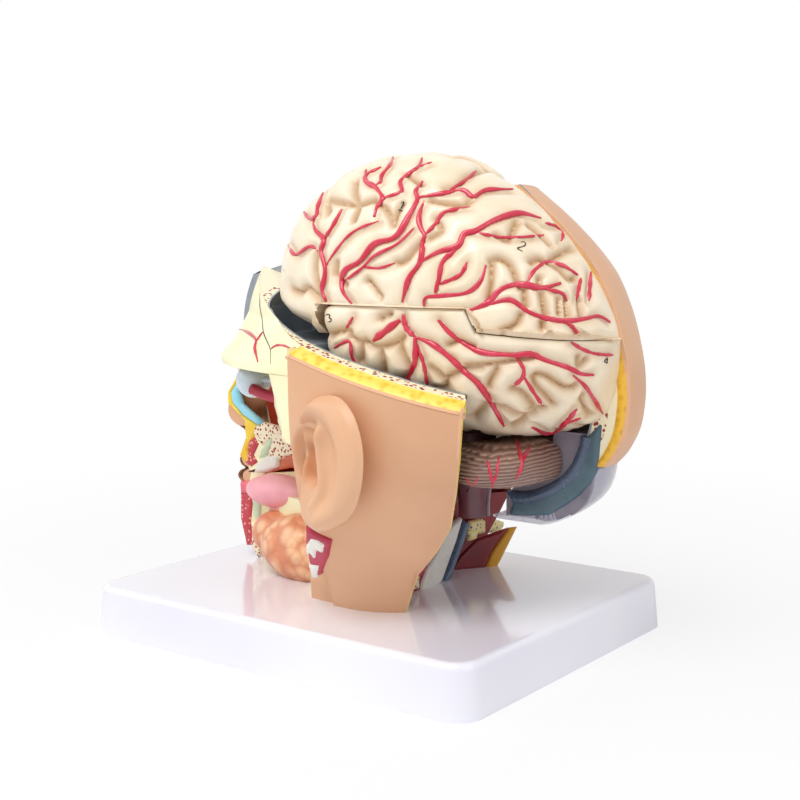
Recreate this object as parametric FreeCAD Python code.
import FreeCAD, Part
import math
import os
import random
from FreeCAD import Vector

# Life-size head anatomy model on a moulded slab. Millimetres.
# Origin: centre of the slab's underside. +Z up, the face looks along -Y, the head's left is +X.
# The left half is dissected: frontal bone, ear flap, mid-line section of the face, opened occiput.

os.makedirs("parts", exist_ok=True)

# Slab
BASE_LENGTH = 205.0
BASE_WIDTH = 162.0
BASE_HEIGHT = 22.0
BASE_DRAFT = 1.4
BASE_CORNER = 11.0
BASE_TOP_ROUND = 3.0
BASE_WALL = 2.6
RIB_THICKNESS = 2.0
BOSS_DIAMETER = 12.0
BOSS_RECESS = 6.0

# Screws that hold the neck down on the slab
SCREW_DIAMETER = 4.0
SCREW_HEAD_DIAMETER = 8.0
SCREW_HEAD_HEIGHT = 3.0
SCREW_GRIP = 14.0
SCREW_PLACES = ((-18.0, -22.0), (22.0, 8.0))

# Head, outer skin
HEAD_HALF_WIDTH = 71.0
FACE_REACH = 80.0
OCCIPUT_REACH = 126.0
HEAD_TOP = 214.0
WIDEST_Y = 28.0
FACE_FULLNESS = 2.15

# Skin and fat that are taken off over the bone of the left forehead
SCALP = 5.6

# Cuts of the dissection
FLAP_FRONT_Y = 10.0
LEFT_RIM_HEIGHT = 143.8
LEFT_RIM_FALL = 0.277
LEFT_RIM_TILT = 0.115
RIGHT_RIM_HEIGHT = 161.0
RIGHT_RIM_RISE = 0.263
RIM_FRONT_Y = -62.0
FLAP_REAR_FOOT = (35.4, 41.3)
FLAP_REAR_NORMAL = (-0.515, 0.812, -0.275)
NECK_TOP = 57.0
NAPE_RISE = 0.315
ORBIT_ROOF = 121.0
CHEEK_BONE_BOTTOM = 93.0
CHEEK_BONE_FRONT_Y = -11.0
CHEEK_BONE_THICKNESS = 6.0
FOSSA_FLOOR = 58.0
FOSSA_HALF_WIDTH = 50.0
FOSSA_FRONT_Y = 40.0
FOSSA_REAR_Y = 109.0

# Brain
BRAIN_FRONT_Y = -38.0
BRAIN_REAR_Y = 121.0
BRAIN_REAR_RIGHT_Y = 98.0
BRAIN_MID_Y = 36.0
BRAIN_HALF_WIDTH = 57.5
BRAIN_TOP = 212.0
BRAIN_MID_HEIGHT = 146.0
BRAIN_FRONT_HEIGHT = 158.0
BRAIN_REAR_HEIGHT = 137.0
BRAIN_BOTTOM = 99.0
BRAIN_FULLNESS = 2.4
BRAIN_RIGHT_FULLNESS = 1.6
CROWN_FULLNESS = 1.62
CROWN_RIGHT_FULLNESS = 1.45
FRONTAL_FULLNESS = 2.2
SECTION_FULLNESS = 2.3
FRONTAL_FLOOR = 134.0
TEMPORAL_POLE_Y = 10.5
POLE_SLOPE = 3.0
POLE_ROUND = 10.0
POLE_DROP = 9.0
SYLVIAN_HEIGHT = 150.0
LOBE_STEP_Y = 82.0
STEP_SLOPE = 4.0
OCCIPITAL_SEAM_HEIGHT = 141.0
FOLD_WIDTH = 11.0
FOLD_DEPTH = 3.0
FOLD_SHARPNESS = 0.42
FOLD_WAVE_COUNT = 14
FOLD_SEED = 7
FISSURE_ROUND = 3.5
LEAST_STEP = 0.05
LEAST_ROW = 1.0
UNDERSIDE_COLUMNS = 6
EDGE_FADE = 4.0

# Cerebellum and brainstem
CEREBELLUM_HALF_WIDTH = 44.0
CEREBELLUM_Y = 78.0
CEREBELLUM_LENGTH = 34.0
CEREBELLUM_TOP = 98.0
CEREBELLUM_BOTTOM = 76.0
CEREBELLUM_ROUNDNESS = 0.8
FOLIA_PITCH = 6.0
FOLIA_DEPTH = 1.0
STEM_Y = 52.0
STEM_HALF_WIDTH = 11.0
STEM_DEPTH = 9.0
STEM_TOP = 95.0
STEM_CLEARANCE = 4.0
STEM_SECTIONS = ((0.0, 0.7, 0.7), (16.0, 0.85, 0.85), (26.0, 1.0, 1.0))
STEM_CROWN = (0.95, 0.85)

# Dura of the rear fossa
DURA_WALL = 1.6
FALX_THICKNESS = 2.0
FALX_OUTLINE = ((91.0, 98.0), (89.7, 88.7), (83.5, 82.3), (76.8, 75.8), (68.0, 70.0), (68.0, 57.0), (114.0, 57.0),
                (114.0, 98.0))
SINUS_RADIUS = 2.8
SINUS_PATH = ((106.4, 97.0), (104.5, 89.4), (97.7, 78.9), (88.8, 72.9), (80.2, 69.4), (72.0, 68.6))

# Face of the whole right half
NOSE_SECTIONS = ((119.0, 7.0, -80.0), (106.0, 9.0, -85.0), (97.0, 12.5, -90.5), (91.0, 15.5, -91.5), (85.5, 13.0, -85.0))
NOSE_ROOT_Y = -72.0
UPPER_LIP = ((0.0, -75.5, 69.5), (23.0, 8.0, 4.4))
LOWER_LIP = ((0.0, -75.0, 61.0), (20.0, 8.0, 4.2))
EYE_SOCKET = ((-31.0, -78.0, 112.0), (17.0, 12.0, 10.0))
EYE_LIDS = ((-31.0, -59.0, 111.0), (13.0, 13.0, 11.0))
EAR_FOOT = (66.0, 14.0, 60.0)
EAR_TURN = 17.0
EAR_THICKNESS = 5.0
EAR_RIM = 3.4
EAR_OUTLINE = ((2, 8), (8, 0), (15, 5), (23, 20), (30, 36), (31, 50), (25, 59), (14, 62), (5, 56), (1, 42), (2, 22))
CONCHA_OUTLINE = ((6, 20), (12, 17), (18, 24), (21, 36), (24, 46), (20, 54), (12, 56), (7, 50), (9, 40), (6, 30))

# Mid-line section of the face, as (y, z) outlines of its hollows, and the forms that stand out of it
NASAL_OUTLINE = ((-86, 97), (-80, 106), (-60, 109), (-36, 101), (-30, 88), (-50, 84), (-76, 86))
MOUTH_OUTLINE = ((-78, 64), (-62, 70), (-42, 75), (-24, 68), (-16, 48), (-24, 54), (-40, 66), (-60, 65))
HOLLOW_DEPTH = 11.0
TONGUE = ((4.0, -56.0, 57.0), (10.0, 19.0, 8.0))
GLAND = ((8.0, -52.0, 38.0), (11.0, 15.0, 11.0))
FLOOR_MUSCLE = ((14.0, -30.0, 35.0), (14.0, 26.0, 16.0))
NASAL_ROOT_WIDTH = 14.0
NASAL_ROOT_BOTTOM = 111.5
NECK_FRONT = ((0.0, -71.0), (9.0, -55.0), (15.0, -28.0), (43.0, -3.0))
NECK_REAR = ((10.8, 24.9), (-8.8, 24.9), (-31.0, 13.5), (-45.7, 24.8))

# Eyeball
EYE_RADIUS = 12.0
EYE_CENTRE_X = 30.0
EYE_CENTRE_Y = -50.0
NERVE_RADIUS = 3.0
NERVE_PATH = ((0.0, 6.0, 0.0), (-5.0, 20.0, 0.0), (-12.0, 30.0, 2.0))
EYE_MUSCLE_RADIUS = 2.4
EYE_MUSCLE_PATH = ((6.0, 8.0, -2.0), (3.0, 20.0, -5.0), (-10.0, 30.0, -1.0))

# Arteries of the stem, with the branches as (out, behind the trunk, height) points
ARTERY_RADIUS = 1.6
ARTERY_FORK_HEIGHT = 75.0
BRANCH_RADIUS = 1.3
BRANCH_PATH = ((8.0, 5.0, 61.0), (5.0, 2.0, 68.0), (0.0, 1.0, 75.0))

# Locating pins
PIN_DIAMETER = 5.0
PIN_LENGTH = 16.0

# Clearances
SEAT_GAP = 0.3
LEFT_CAVITY_GAP = 3.0
RIGHT_CAVITY_GAP = 1.6
SHAFT_GAP = 2.4
RIGHT_SEAT_GAP = 0.8
CAVITY_SECTIONS = 18

FAR = 400.0


# Helpers

def box_between(x0, x1, y0, y1, z0, z1):
    return Part.makeBox(x1 - x0, y1 - y0, z1 - z0, Vector(x0, y0, z0))


def half_space(point, normal):
    """Large block on the side of a plane that the normal points to."""
    block = Part.makeBox(2 * FAR, 2 * FAR, FAR, Vector(-FAR, -FAR, 0))
    block.Placement = FreeCAD.Placement(Vector(*point), FreeCAD.Rotation(Vector(0, 0, 1), Vector(*normal)))
    return block


def ellipsoid(centre, radii):
    ball = Part.makeSphere(1.0)
    stretch = FreeCAD.Matrix()
    stretch.scale(*radii)
    ball = ball.transformGeometry(stretch)
    ball.translate(Vector(*centre))
    return ball


def tube_along(points, radius):
    """Round tube along a smooth curve through the points."""
    curve = Part.BSplineCurve()
    curve.interpolate([Vector(*p) for p in points])
    spine = Part.Wire([curve.toShape()])
    start = Vector(*points[0])
    ring = Part.Wire([Part.Circle(start, curve.tangent(curve.FirstParameter)[0], radius).toShape()])
    return spine.makePipeShell([ring], True, False)


def prism_yz(outline, x0, x1):
    """Smooth closed outline of (y, z) points, extruded from x0 to x1."""
    curve = Part.BSplineCurve()
    curve.interpolate(Points=[Vector(x0, y, z) for y, z in outline], PeriodicFlag=True)
    face = Part.Face(Part.Wire([curve.toShape()]))
    return face.extrude(Vector(x1 - x0, 0, 0))


def blend(value, stops):
    """Smooth interpolation of a short list of (place, share) stops."""
    if value <= stops[0][0]:
        return stops[0][1]
    for (p0, s0), (p1, s1) in zip(stops, stops[1:]):
        if value <= p1:
            t = (value - p0) / (p1 - p0)
            return s0 + (s1 - s0) * t
    return stops[-1][1]


def signed_power(value, power):
    return math.copysign(abs(value) ** power, value)


def solid_from_rings(rings):
    """Closed faceted solid from a row of equal rings of points, fanned shut at both ends."""
    points = [p for ring in rings for p in ring]
    count = len(rings[0])
    facets = []
    for i in range(len(rings) - 1):
        for j in range(count):
            a = i * count + j
            b = i * count + (j + 1) % count
            facets.append((a, b, b + count))
            facets.append((a, b + count, a + count))
    last = (len(rings) - 1) * count
    for j in range(1, count - 1):
        facets.append((0, j + 1, j))
        facets.append((last, last + j, last + j + 1))
    shape = Part.Shape()
    shape.makeShapeFromMesh((points, facets), 0.001)
    solid = Part.makeSolid(shape)
    if solid.Volume < 0:
        solid.reverse()
    return solid


def export(shape, name):
    shape.exportStep("parts/" + name + ".step")


# Slab

def rounded_rectangle(length_x, length_y, radius, z):
    """Closed wire of four sides and four corner arcs at a height."""
    hx = length_x / 2.0 - radius
    hy = length_y / 2.0 - radius
    edges = []
    for quarter, (cx, cy) in enumerate(((hx, hy), (-hx, hy), (-hx, -hy), (hx, -hy))):
        centre = Vector(cx, cy, z)
        start, middle, end = [
            centre + Vector(radius * math.cos(a), radius * math.sin(a), 0)
            for a in (quarter * math.pi / 2, (quarter + 0.5) * math.pi / 2, (quarter + 1) * math.pi / 2)]
        edges.append((start, middle, end))
    wire = []
    for k, (start, middle, end) in enumerate(edges):
        wire.append(Part.Arc(start, middle, end).toShape())
        wire.append(Part.LineSegment(end, edges[(k + 1) % 4][0]).toShape())
    return Part.Wire(wire)


def base_plate():
    foot = rounded_rectangle(BASE_WIDTH, BASE_LENGTH, BASE_CORNER, 0.0)
    crown = rounded_rectangle(BASE_WIDTH - 2 * BASE_DRAFT, BASE_LENGTH - 2 * BASE_DRAFT, BASE_CORNER, BASE_HEIGHT)
    slab = Part.makeLoft([foot, crown], True, True)
    top_edges = [e for e in slab.Edges if all(abs(v.Z - BASE_HEIGHT) < 1e-6 for v in e.Vertexes)]
    slab = slab.makeFillet(BASE_TOP_ROUND, top_edges)
    inner = BASE_WALL + BASE_DRAFT
    hollow_foot = rounded_rectangle(BASE_WIDTH - 2 * BASE_WALL, BASE_LENGTH - 2 * BASE_WALL, BASE_CORNER - BASE_WALL, 0.0)
    hollow_crown = rounded_rectangle(
        BASE_WIDTH - 2 * inner, BASE_LENGTH - 2 * inner, BASE_CORNER - BASE_WALL, BASE_HEIGHT - BASE_WALL)
    hollow = Part.makeLoft([hollow_foot, hollow_crown], True, True)
    slab = slab.cut(hollow)
    top = BASE_HEIGHT - BASE_WALL
    under_skin = top + BASE_WALL / 2
    side_x = BASE_WIDTH / 2 - BASE_WALL
    side_y = BASE_LENGTH / 2 - BASE_WALL
    half_rib = RIB_THICKNESS / 2
    extras = [box_between(-side_x, side_x, -half_rib, half_rib, 0, under_skin),
              box_between(-half_rib, half_rib, -side_y, side_y, 0, under_skin)]
    for x, y in SCREW_PLACES:
        extras.append(Part.makeCylinder(
            BOSS_DIAMETER / 2, under_skin - BOSS_RECESS, Vector(x, y, BOSS_RECESS)))
    slab = slab.fuse(extras)
    for x, y in SCREW_PLACES:
        shank = Part.makeCylinder(SCREW_DIAMETER / 2 + SEAT_GAP, BASE_HEIGHT, Vector(x, y, 0))
        slab = slab.cut(shank)
    return slab.removeSplitter()


def screw(x, y):
    seat = BOSS_RECESS
    head = Part.makeCylinder(SCREW_HEAD_DIAMETER / 2, SCREW_HEAD_HEIGHT, Vector(x, y, seat - SCREW_HEAD_HEIGHT))
    shank = Part.makeCylinder(SCREW_DIAMETER / 2, BASE_HEIGHT - seat + SCREW_GRIP, Vector(x, y, seat))
    return head.fuse(shank)


# Head, as level sections from the neck to the crown

# Stops: height, then the share of the driving size at that height
WIDTH_STOPS = ((22, 0.62), (32, 0.66), (45, 0.76), (57, 0.845), (72, 0.915), (84, 0.95), (96, 0.98), (108, 0.993),
               (134, 1.0), (148, 0.986), (162, 0.944), (176, 0.873), (190, 0.76), (202, 0.606), (214, 0.36))
FACE_STOPS = ((22, 0.88), (32, 0.975), (45, 0.985), (57, 0.99), (96, 0.97), (118, 0.98), (128, 1.0), (134, 1.0),
              (148, 0.97), (162, 0.885), (176, 0.75), (190, 0.56), (202, 0.34), (214, 0.02))
REAR_STOPS = ((22, 0.43), (32, 0.46), (45, 0.53), (57, 0.6), (72, 0.74), (84, 0.9), (96, 0.97), (112, 1.0),
              (128, 0.985), (148, 0.935), (162, 0.88), (176, 0.785), (190, 0.66), (202, 0.525), (214, 0.33))
MIDDLE_STOPS = ((22, 0.62), (57, 0.43), (96, 0.78), (134, 1.06), (214, 1.0))

# Roundness of the level sections behind, by height
OCCIPUT_FULLNESS = ((22, 2.1), (162, 2.0), (190, 1.85), (214, 1.8))

SECTION_HEIGHTS = (22, 32, 45, 57, 72, 84, 96, 108, 120, 134, 148, 162, 176, 190, 202, 214)
SECTION_POINTS = 32


def head_section(height, inset):
    """Level section of the head at a height, moved inwards by the inset."""
    half_width = blend(height, WIDTH_STOPS) * HEAD_HALF_WIDTH - inset
    middle = blend(height, MIDDLE_STOPS) * WIDEST_Y
    front = middle + blend(height, FACE_STOPS) * FACE_REACH - inset
    rear = blend(height, REAR_STOPS) * OCCIPUT_REACH - middle - inset
    points = []
    for k in range(SECTION_POINTS):
        angle = 2 * math.pi * k / SECTION_POINTS
        fullness = blend(height, OCCIPUT_FULLNESS) if math.sin(angle) > 0 else FACE_FULLNESS
        reach = rear if math.sin(angle) > 0 else front
        x = half_width * signed_power(math.cos(angle), 2 / fullness)
        y = middle + reach * signed_power(math.sin(angle), 2 / fullness)
        points.append(Vector(x, y, height * HEAD_TOP / SECTION_HEIGHTS[-1]))
    curve = Part.BSplineCurve()
    curve.interpolate(Points=points, PeriodicFlag=True)
    return Part.Wire([curve.toShape()])


def head_form(inset):
    return Part.makeLoft([head_section(h, inset) for h in SECTION_HEIGHTS], True, False)


# Brain, as upright sections from the frontal to the occipital pole

def brain_profile(y, rear_y, floor=BRAIN_BOTTOM):
    """Half width, middle, top and bottom of the brain's envelope at a place along its length."""
    behind = y > BRAIN_MID_Y
    reach = (rear_y - BRAIN_MID_Y) if behind else (BRAIN_MID_Y - BRAIN_FRONT_Y)
    along = min(1.0, abs(y - BRAIN_MID_Y) / reach)
    width_power = crown_power = floor_power = FRONTAL_FULLNESS
    if behind:
        left = rear_y == BRAIN_REAR_Y
        width_power = BRAIN_FULLNESS if left else BRAIN_RIGHT_FULLNESS
        crown_power = CROWN_FULLNESS if left else CROWN_RIGHT_FULLNESS
        floor_power = BRAIN_FULLNESS
    width_share, crown_share, floor_share = [
        max(0.0, 1.0 - along ** power) ** (1 / power) for power in (width_power, crown_power, floor_power)]
    end_height = BRAIN_REAR_HEIGHT if behind else BRAIN_FRONT_HEIGHT
    middle = BRAIN_MID_HEIGHT + (end_height - BRAIN_MID_HEIGHT) * along ** 2
    top = middle + (BRAIN_TOP - (BRAIN_MID_HEIGHT if behind else middle)) * crown_share
    bottom = middle - (middle - floor) * floor_share
    return BRAIN_HALF_WIDTH * width_share, middle, top, bottom


def stations(front_y, rear_y, count, exact=()):
    """Places along the length, closer together towards the rounded ends, with the exact ones among them."""
    half = (rear_y - front_y) / 2.0
    centre = (rear_y + front_y) / 2.0
    places = [centre - half * math.cos(math.pi * (k + 0.5) / count) for k in range(count)]
    places = [p for p in places if all(abs(p - e) > LEAST_ROW for e in exact)]
    return sorted(places + [e for e in exact if front_y < e < rear_y])


dice = random.Random(FOLD_SEED)
FOLD_WAVES = []
for wave in range(FOLD_WAVE_COUNT):
    azimuth = dice.uniform(0, 2 * math.pi)
    rise = dice.uniform(-1, 1)
    flat = math.sqrt(1 - rise * rise)
    FOLD_WAVES.append((flat * math.cos(azimuth), flat * math.sin(azimuth), rise, dice.uniform(0, 2 * math.pi)))


def fold_depth(x, y, z):
    """Depth of the furrow at a point: winding furrows one fold width apart."""
    turn = math.pi / FOLD_WIDTH
    total = sum(math.cos(turn * (a * x + b * y + c * z) + p) for a, b, c, p in FOLD_WAVES)
    level = total / math.sqrt(len(FOLD_WAVES) / 2.0)
    return FOLD_DEPTH * math.exp(-(level / FOLD_SHARPNESS) ** 2)


SEAM_STOPS = ((TEMPORAL_POLE_Y, FRONTAL_FLOOR), (TEMPORAL_POLE_Y + POLE_SLOPE, SYLVIAN_HEIGHT),
              (LOBE_STEP_Y, SYLVIAN_HEIGHT), (LOBE_STEP_Y + STEP_SLOPE, OCCIPITAL_SEAM_HEIGHT),
              (BRAIN_REAR_Y, BRAIN_REAR_HEIGHT))
SEAM_BREAKS = tuple(place for place, height in SEAM_STOPS)


def seam_height(y):
    """Height of the joint between the upper and the lower lobe."""
    return blend(y, SEAM_STOPS)


def lobe_ring(y, profile, side, lower, upper, under, count, inner):
    """One section of a lobe between two heights: the inner corner, the underside, and the outer side with its furrows."""
    half_width, middle, top, bottom = profile
    low = max(lower, bottom)
    high = min(upper, top)

    def angle_at(z):
        height = (top - middle) if z > middle else (middle - bottom)
        ratio = max(-1.0, min(1.0, (z - middle) / max(height, 1e-6)))
        return math.copysign(math.asin(min(1.0, abs(ratio) ** (SECTION_FULLNESS / 2))), ratio)

    def on_section(angle):
        across = max(0.0, math.cos(angle)) ** (2 / SECTION_FULLNESS)
        lift = signed_power(math.sin(angle), 2 / SECTION_FULLNESS)
        height = (top - middle) if angle > 0 else (middle - bottom)
        return half_width * across, middle + height * lift, across, lift

    lowest = angle_at(low)
    rounded_below = under > 1 and lowest < 0
    first = 0.0 if rounded_below else lowest
    last = angle_at(high)
    closed_above = high >= top - 1e-6
    corner_x, corner_z = on_section(first)[:2]
    ring = [Vector(side * inner, y, low)]
    for k in range(1, under):
        share = k / under
        if rounded_below:
            x, z = on_section(lowest + (first - lowest) * share)[:2]
        else:
            x, z = corner_x * share, low + (corner_z - low) * share
        ring.append(Vector(side * (inner + max(LEAST_STEP * k, x - inner)), y, z))
    for k in range(count + 1):
        angle = first + (last - first) * k / count
        x, z, across, lift = on_section(angle)
        if closed_above and angle > 0:
            z -= FISSURE_ROUND * math.exp(-x / FISSURE_ROUND)
        from_edge = min(angle - first, last - angle) * max(top - middle, middle - bottom)
        fade = min(1.0, from_edge / EDGE_FADE, half_width / (2 * FOLD_WIDTH))
        depth = fade * fold_depth(side * x, y, z)
        length = math.hypot(across, lift)
        least = LEAST_STEP * ((count - k) if closed_above else (k + 1))
        x = inner + max(least, x - inner - depth * across / length)
        z -= depth * lift / length
        ring.append(Vector(side * x, y, z))
    if not closed_above:
        ring.append(Vector(side * inner, y, high))
    return ring


def upper_lobe(side, rear_y, rows, columns):
    inner = SEAT_GAP / 2
    rings = []
    for y in stations(BRAIN_FRONT_Y, rear_y, rows, SEAM_BREAKS):
        floor = blend(y, ((TEMPORAL_POLE_Y, FRONTAL_FLOOR), (TEMPORAL_POLE_Y + POLE_SLOPE, BRAIN_BOTTOM)))
        profile = brain_profile(y, rear_y, floor)
        level = min(seam_height(y) + SEAT_GAP / 2, profile[2] - LEAST_ROW)
        rings.append(lobe_ring(y, profile, side, level, FAR, UNDERSIDE_COLUMNS, columns, inner))
    return solid_from_rings(rings)


def lower_lobe(side, rear_y, rows, columns):
    """The lobe below the joint, with its front rounded off all round."""
    inner = SEAT_GAP / 2
    rings = []
    front = TEMPORAL_POLE_Y + POLE_SLOPE + SEAT_GAP
    breaks = [place - SEAT_GAP for place in SEAM_BREAKS]
    for y in [y for y in stations(front - POLE_ROUND, rear_y, rows, breaks) if y > front]:
        half_width, middle, top, bottom = brain_profile(y, rear_y)
        short = max(0.0, 1.0 - (y - front) / POLE_ROUND)
        drop = POLE_DROP * (1 - math.sqrt(1 - short ** 2))
        level = seam_height(y + SEAT_GAP) - SEAT_GAP / 2 - drop
        level = min(max(level, bottom + drop + LEAST_ROW), top - SEAT_GAP)
        profile = (half_width - drop, middle, top, bottom + drop)
        rings.append(lobe_ring(y, profile, side, -FAR, level, 1, columns, inner))
    return solid_from_rings(rings)


def cerebellum(side, rows, columns):
    """Half of the little brain. The right one makes room for the flange on the mid-line."""
    inner = SEAT_GAP / 2 if side > 0 else FALX_THICKNESS + 2 * SEAT_GAP
    middle = (CEREBELLUM_TOP + CEREBELLUM_BOTTOM) / 2
    half_height = (CEREBELLUM_TOP - CEREBELLUM_BOTTOM) / 2
    half_length = CEREBELLUM_LENGTH / 2
    rings = []
    for k in range(rows):
        lean = math.pi * (k + 0.5) / rows
        across = math.sin(lean) ** CEREBELLUM_ROUNDNESS
        y = CEREBELLUM_Y - half_length * math.cos(lean)
        ring = [Vector(side * inner, y, middle - half_height * across)]
        for j in range(columns + 1):
            angle = -math.pi / 2 + math.pi * j / columns
            x = inner + (CEREBELLUM_HALF_WIDTH - inner) * across * max(0.0, math.cos(angle)) ** CEREBELLUM_ROUNDNESS
            z = middle + half_height * across * signed_power(math.sin(angle), CEREBELLUM_ROUNDNESS)
            leaf = FOLIA_DEPTH * (0.5 - 0.5 * math.cos(2 * math.pi * z / FOLIA_PITCH))
            x = max(inner, x - leaf * math.cos(angle))
            ring.append(Vector(side * x, y, z))
        rings.append(ring)
    return solid_from_rings(rings)


def brain_room(side, rear_y):
    """Room for one half of the brain in the skull: its envelope with a gap all round."""
    wires = []
    side_gap, seat_gap = (LEFT_CAVITY_GAP, SEAT_GAP) if side > 0 else (RIGHT_CAVITY_GAP, RIGHT_SEAT_GAP)
    for y in stations(BRAIN_FRONT_Y - side_gap, rear_y + side_gap, CAVITY_SECTIONS):
        reach = (rear_y - BRAIN_MID_Y) if y > BRAIN_MID_Y else (BRAIN_MID_Y - BRAIN_FRONT_Y)
        scaled = BRAIN_MID_Y + (y - BRAIN_MID_Y) * reach / (reach + side_gap)
        half_width, middle, top, bottom = brain_profile(scaled, rear_y)
        points = []
        for k in range(SECTION_POINTS):
            angle = 2 * math.pi * k / SECTION_POINTS
            gap = side_gap if math.sin(angle) > 0 else seat_gap
            height = (top - middle + gap) if math.sin(angle) > 0 else (middle - bottom + gap)
            x = (half_width + side_gap) * signed_power(math.cos(angle), 2 / SECTION_FULLNESS)
            z = middle + height * signed_power(math.sin(angle), 2 / SECTION_FULLNESS)
            points.append(Vector(x, y, z))
        curve = Part.BSplineCurve()
        curve.interpolate(Points=points, PeriodicFlag=True)
        wires.append(Part.Wire([curve.toShape()]))
    room = Part.makeLoft(wires, True, False)
    half = box_between(0, FAR, -FAR, FAR, 0, FAR) if side > 0 else box_between(-FAR, 0, -FAR, FAR, 0, FAR)
    room = room.common(half)
    front = TEMPORAL_POLE_Y + POLE_SLOPE
    temporal = room.common(box_between(-FAR, FAR, front, FAR, 0, FAR))
    frontal = room.common(box_between(-FAR, FAR, -FAR, front, FRONTAL_FLOOR - SEAT_GAP, FAR))
    return [temporal, frontal]


def lift_shaft():
    """Way straight up for the left upper lobe: its plan outline with a gap."""
    outline = []
    for k in range(SECTION_POINTS + 1):
        angle = math.pi * k / SECTION_POINTS - math.pi / 2
        reach = (BRAIN_REAR_Y - BRAIN_MID_Y) if math.sin(angle) > 0 else (BRAIN_MID_Y - BRAIN_FRONT_Y)
        x = (BRAIN_HALF_WIDTH + SHAFT_GAP) * max(0.0, math.cos(angle)) ** (2 / BRAIN_FULLNESS)
        y = BRAIN_MID_Y + (reach + SHAFT_GAP) * signed_power(math.sin(angle), 2 / BRAIN_FULLNESS)
        outline.append(Vector(x, y, BRAIN_MID_HEIGHT))
    curve = Part.BSplineCurve()
    curve.interpolate(outline)
    closing = Part.LineSegment(outline[-1], outline[0]).toShape()
    return Part.Face(Part.Wire([curve.toShape(), closing])).extrude(Vector(0, 0, HEAD_TOP))


# Rise above the floor, and the share of the full width there
FOSSA_STOPS = ((0, 0.3), (3, 0.57), (7, 0.77), (13, 0.93), (22, 1.0), (38, 1.0), (50, 1.0))
FOSSA_ROUNDNESS = 0.85


def rear_fossa(inset):
    """Rounded room for the cerebellum and the brainstem, moved inwards by the inset."""
    wires = []
    for rise, share in FOSSA_STOPS:
        points = []
        middle = (FOSSA_FRONT_Y + FOSSA_REAR_Y) / 2
        reach = (FOSSA_REAR_Y - FOSSA_FRONT_Y) / 2 * share - inset
        breadth = FOSSA_HALF_WIDTH * share - inset
        for k in range(SECTION_POINTS):
            angle = 2 * math.pi * k / SECTION_POINTS
            x = breadth * signed_power(math.cos(angle), FOSSA_ROUNDNESS)
            y = middle + reach * signed_power(math.sin(angle), FOSSA_ROUNDNESS)
            points.append(Vector(x, y, FOSSA_FLOOR + rise + (inset if rise == 0 else 0)))
        curve = Part.BSplineCurve()
        curve.interpolate(Points=points, PeriodicFlag=True)
        wires.append(Part.Wire([curve.toShape()]))
    return Part.makeLoft(wires, True, False)


def stem_channel():
    """Way for the stem and its artery down the front of the pit."""
    half_width = STEM_HALF_WIDTH + STEM_CLEARANCE
    front = STEM_Y - STEM_DEPTH - 2 * ARTERY_RADIUS - 2 * SEAT_GAP
    return box_between(-half_width, ARTERY_RADIUS + SEAT_GAP, front, STEM_Y + 2 * STEM_DEPTH, FOSSA_FLOOR,
                       BRAIN_BOTTOM + 1)


# Head casting

def ear():
    """Left ear: a shell with a raised rim and a deep bowl, turned out at its rear edge."""
    def outline_face(outline, w):
        curve = Part.BSplineCurve()
        curve.interpolate(Points=[Vector(u, v, w) for u, v in outline], PeriodicFlag=True)
        return Part.Face(Part.Wire([curve.toShape()]))

    shell = outline_face(EAR_OUTLINE, -EAR_THICKNESS).extrude(Vector(0, 0, 2 * EAR_THICKNESS))
    bowl = outline_face(CONCHA_OUTLINE, EAR_THICKNESS - EAR_RIM).extrude(Vector(0, 0, EAR_THICKNESS))
    shape = shell.cut(bowl).fuse(ellipsoid((2.5, 27.0, EAR_THICKNESS - 1), (3.0, 5.0, 2.5)))
    turn = math.radians(EAR_TURN)
    u = Vector(math.sin(turn), math.cos(turn), 0)
    w = Vector(math.cos(turn), -math.sin(turn), 0)
    shape.Placement = FreeCAD.Placement(FreeCAD.Matrix(
        u.x, 0, w.x, EAR_FOOT[0], u.y, 0, w.y, EAR_FOOT[1], 0, 1, 0, EAR_FOOT[2], 0, 0, 0, 1))
    return shape


def nose():
    wires = []
    for z, half_width, tip in NOSE_SECTIONS:
        middle = (NOSE_ROOT_Y + tip) / 2
        points = [Vector(-half_width, NOSE_ROOT_Y, z), Vector(-0.62 * half_width, middle, z), Vector(0, tip, z),
                  Vector(0.62 * half_width, middle, z), Vector(half_width, NOSE_ROOT_Y, z),
                  Vector(0, NOSE_ROOT_Y + 8, z)]
        curve = Part.BSplineCurve()
        curve.interpolate(Points=points, PeriodicFlag=True)
        wires.append(Part.Wire([curve.toShape()]))
    return Part.makeLoft(wires, True, False)


def prism_up(outline, z0, z1):
    points = [Vector(x, y, z0) for x, y in outline]
    return Part.Face(Part.makePolygon(points + points[:1])).extrude(Vector(0, 0, z1 - z0))


def rim_cuts():
    """Everything above the sawn rim: it falls to the rear on the left and rises on the right."""
    left = half_space((0, 0, LEFT_RIM_HEIGHT), (LEFT_RIM_TILT, LEFT_RIM_FALL, 1))
    right = half_space((0, RIM_FRONT_Y, RIGHT_RIM_HEIGHT), (0, -RIGHT_RIM_RISE, 1))
    return [left.common(box_between(0, FAR, -FAR, FAR, -FAR, FAR)),
            right.common(box_between(-FAR, 0, -FAR, FAR, -FAR, FAR))]


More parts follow.
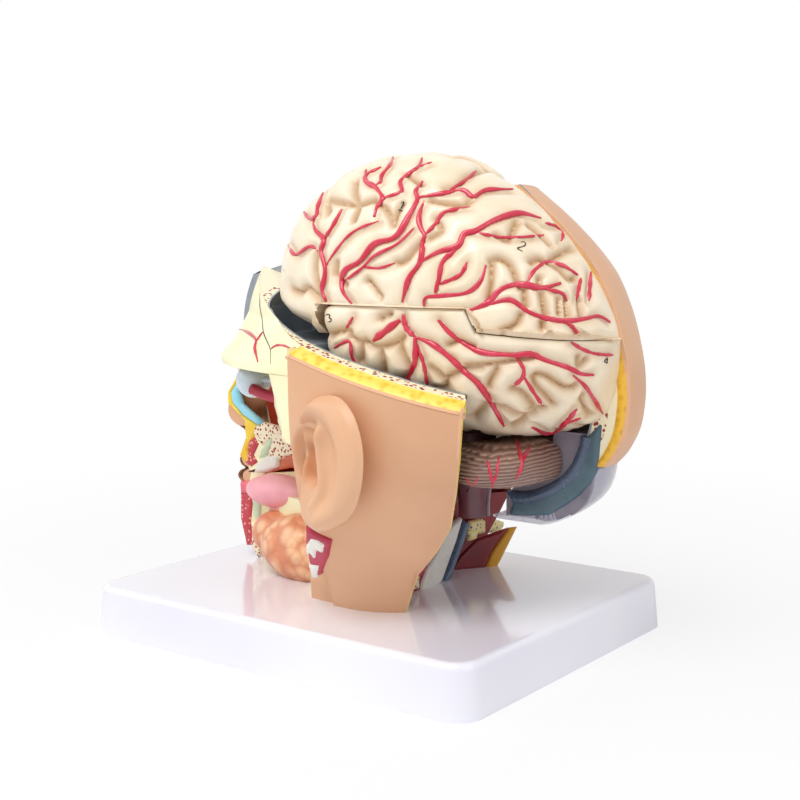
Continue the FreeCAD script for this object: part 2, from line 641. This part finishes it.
def rear_cuts():
    """The opened occiput on the left and the removed nape on both sides."""
    foot = (FLAP_REAR_FOOT[0], FLAP_REAR_FOOT[1], BASE_HEIGHT)
    behind_flap = half_space(foot, FLAP_REAR_NORMAL)
    edge = NECK_REAR[0][0]
    slope = (NECK_REAR[3][1] - NECK_REAR[2][1]) / (NECK_REAR[2][0] - NECK_REAR[3][0])
    outer = (-FAR / 2, NECK_REAR[3][1] + slope * (FAR / 2 + NECK_REAR[3][0]))
    nape = prism_up(list(NECK_REAR) + [outer, (-FAR / 2, FAR), (edge, FAR)], BASE_HEIGHT - 1, NECK_TOP)
    below_occiput = half_space((0, NECK_REAR[0][1], NECK_TOP), (0, NAPE_RISE, -1))
    return [behind_flap.common(box_between(edge, FAR, -FAR, FAR, 0, FAR)),
            behind_flap.common(box_between(0, edge, -FAR, FAR, NECK_TOP, FAR)),
            nape,
            below_occiput.common(box_between(-FAR, 0, NECK_REAR[0][1], FAR, NECK_TOP, FAR))]


def head_casting():
    skin = head_form(0.0)
    bone = head_form(SCALP)
    face = skin.fuse([nose(), ellipsoid(*UPPER_LIP), ellipsoid(*LOWER_LIP)])
    face = face.cut(ellipsoid(*EYE_SOCKET)).fuse(ellipsoid(*EYE_LIDS))
    face = face.fuse(ear().mirror(Vector(0, 0, 0), Vector(1, 0, 0)))
    right = face.common(box_between(-FAR, 0, -FAR, FAR, BASE_HEIGHT, FAR))
    right = right.cut([prism_yz(NASAL_OUTLINE, -HOLLOW_DEPTH, 1.0), prism_yz(MOUTH_OUTLINE, -HOLLOW_DEPTH, 1.0)])
    flap = skin.fuse(ear()).common(box_between(0, FAR, FLAP_FRONT_Y, FAR, BASE_HEIGHT, FAR))
    frontal = bone.common(box_between(0, FAR, -FAR, FLAP_FRONT_Y, ORBIT_ROOF, FAR))
    cheek = bone.cut(head_form(SCALP + CHEEK_BONE_THICKNESS)).common(box_between(
        HEAD_HALF_WIDTH / 2, FAR, CHEEK_BONE_FRONT_Y, FLAP_FRONT_Y, CHEEK_BONE_BOTTOM, ORBIT_ROOF))
    neck_outline = [(0.0, FLAP_FRONT_Y)] + list(NECK_FRONT) + [(NECK_FRONT[-1][0], FLAP_FRONT_Y)]
    neck = prism_up(neck_outline, BASE_HEIGHT, NECK_TOP).common(head_form(SCALP / 2))
    root = box_between(0, NASAL_ROOT_WIDTH, -FACE_REACH, FLAP_FRONT_Y, NASAL_ROOT_BOTTOM, ORBIT_ROOF + 1)
    root = root.common(bone)
    inner_forms = [ellipsoid(*TONGUE), ellipsoid(*GLAND), ellipsoid(*FLOOR_MUSCLE)]
    above_slab = box_between(-FAR, FAR, -FAR, FAR, BASE_HEIGHT, FAR)
    casting = right.fuse([flap, frontal, cheek, neck, root] + inner_forms).common(above_slab)
    casting = casting.cut(rim_cuts() + rear_cuts())
    rooms = brain_room(1, BRAIN_REAR_Y) + brain_room(-1, BRAIN_REAR_RIGHT_Y)
    casting = casting.cut(rooms + [lift_shaft(), rear_fossa(0.0), stem_channel()])
    for x, y in SCREW_PLACES:
        casting = casting.cut(Part.makeCylinder(
            SCREW_DIAMETER / 2 + SEAT_GAP / 3, SCREW_GRIP + SEAT_GAP, Vector(x, y, BASE_HEIGHT)))
    return casting


# Loose pieces

def left_eyeball():
    centre = Vector(EYE_CENTRE_X, EYE_CENTRE_Y, ORBIT_ROOF - SEAT_GAP - EYE_RADIUS)
    ball = Part.makeSphere(EYE_RADIUS, centre)
    nerve = tube_along([centre + Vector(*p) for p in NERVE_PATH], NERVE_RADIUS)
    muscle = tube_along([centre + Vector(*p) for p in EYE_MUSCLE_PATH], EYE_MUSCLE_RADIUS)
    return ball.fuse([nerve, muscle])


def rear_dura():
    """Clear bowl under the right cerebellum, with the flange and the blood channel along the mid-line."""
    front = STEM_Y + STEM_DEPTH + SEAT_GAP
    whole = rear_fossa(SEAT_GAP).common(box_between(-FAR, -SEAT_GAP, front, FAR, FOSSA_FLOOR, CEREBELLUM_TOP))
    bowl = whole.cut(rear_fossa(SEAT_GAP + DURA_WALL))
    corners = [Vector(-SEAT_GAP - FALX_THICKNESS, y, z) for y, z in FALX_OUTLINE]
    flange = Part.Face(Part.makePolygon(corners + corners[:1])).extrude(Vector(FALX_THICKNESS, 0, 0)).common(whole)
    channel = tube_along([(-SEAT_GAP, y, z) for y, z in SINUS_PATH], SINUS_RADIUS)
    return bowl.fuse([flange, channel])


def brainstem(side):
    wires = []
    foot = FOSSA_FLOOR + SEAT_GAP
    for z, rx, ry in [(foot + rise, rx, ry) for rise, rx, ry in STEM_SECTIONS] + [(STEM_TOP, *STEM_CROWN)]:
        ring = Part.Ellipse(Vector(0, STEM_Y, z), STEM_HALF_WIDTH * rx, STEM_DEPTH * ry)
        wires.append(Part.Wire([ring.toShape()]))
    stem = Part.makeLoft(wires, True, False)
    keep = box_between(SEAT_GAP / 2, FAR, -FAR, FAR, 0, FAR)
    if side < 0:
        keep = box_between(-FAR, -SEAT_GAP / 2, -FAR, FAR, 0, FAR)
    return stem.common(keep)


def basilar_artery():
    front = STEM_Y - STEM_DEPTH - ARTERY_RADIUS - SEAT_GAP
    trunk = tube_along([(0, front + y, z) for x, y, z in BRANCH_PATH[-1:]] + [(0, front, (ARTERY_FORK_HEIGHT + STEM_TOP) / 2),
                       (0, front, STEM_TOP)], ARTERY_RADIUS)
    branches = [tube_along([(side * x, front + y, z) for x, y, z in BRANCH_PATH], BRANCH_RADIUS) for side in (-1, 1)]
    return trunk.fuse(branches)


UPRIGHT_PINS = ((28.0, 50.0), (28.0, 98.0), (-28.0, 50.0), (-26.0, 76.0))
CROSS_PINS = ((62.0, 124.0), (84.0, 120.0), (80.0, 88.0), (52.0, 72.0))


def upright_pin(x, y, gap):
    height = seam_height(y)
    return Part.makeCylinder(PIN_DIAMETER / 2 + gap, PIN_LENGTH + 2 * gap, Vector(x, y, height - PIN_LENGTH / 2 - gap))


def cross_pin(y, z, gap):
    return Part.makeCylinder(
        PIN_DIAMETER / 2 + gap, PIN_LENGTH + 2 * gap, Vector(-PIN_LENGTH / 2 - gap, y, z), Vector(1, 0, 0))


def pin_holes():
    holes = [upright_pin(x, y, SEAT_GAP) for x, y in UPRIGHT_PINS]
    return holes + [cross_pin(y, z, SEAT_GAP) for y, z in CROSS_PINS]


def locating_pins():
    pins = [upright_pin(x, y, 0.0) for x, y in UPRIGHT_PINS] + [cross_pin(y, z, 0.0) for y, z in CROSS_PINS]
    return Part.makeCompound(pins)


def base_screws():
    return Part.makeCompound([screw(x, y) for x, y in SCREW_PLACES])


def main():
    holes = pin_holes()
    export(base_plate(), "base_plate")
    export(base_screws(), "base_screws")
    export(head_casting(), "head_casting")
    export(left_eyeball(), "left_eyeball")
    export(rear_dura().cut(holes), "rear_dura")
    export(upper_lobe(1, BRAIN_REAR_Y, 50, 24).cut(holes), "left_upper_cerebrum")
    export(lower_lobe(1, BRAIN_REAR_Y, 40, 22).cut(holes), "left_lower_cerebrum")
    export(upper_lobe(-1, BRAIN_REAR_RIGHT_Y, 40, 20).cut(holes), "right_upper_cerebrum")
    export(lower_lobe(-1, BRAIN_REAR_RIGHT_Y, 28, 16).cut(holes), "right_lower_cerebrum")
    export(cerebellum(1, 16, 22).cut(holes), "left_cerebellum")
    export(cerebellum(-1, 14, 20).cut(holes), "right_cerebellum")
    export(brainstem(1).cut(holes), "left_brainstem")
    export(brainstem(-1).cut(holes), "right_brainstem")
    export(basilar_artery(), "basilar_artery")
    export(locating_pins(), "locating_pins")


main()
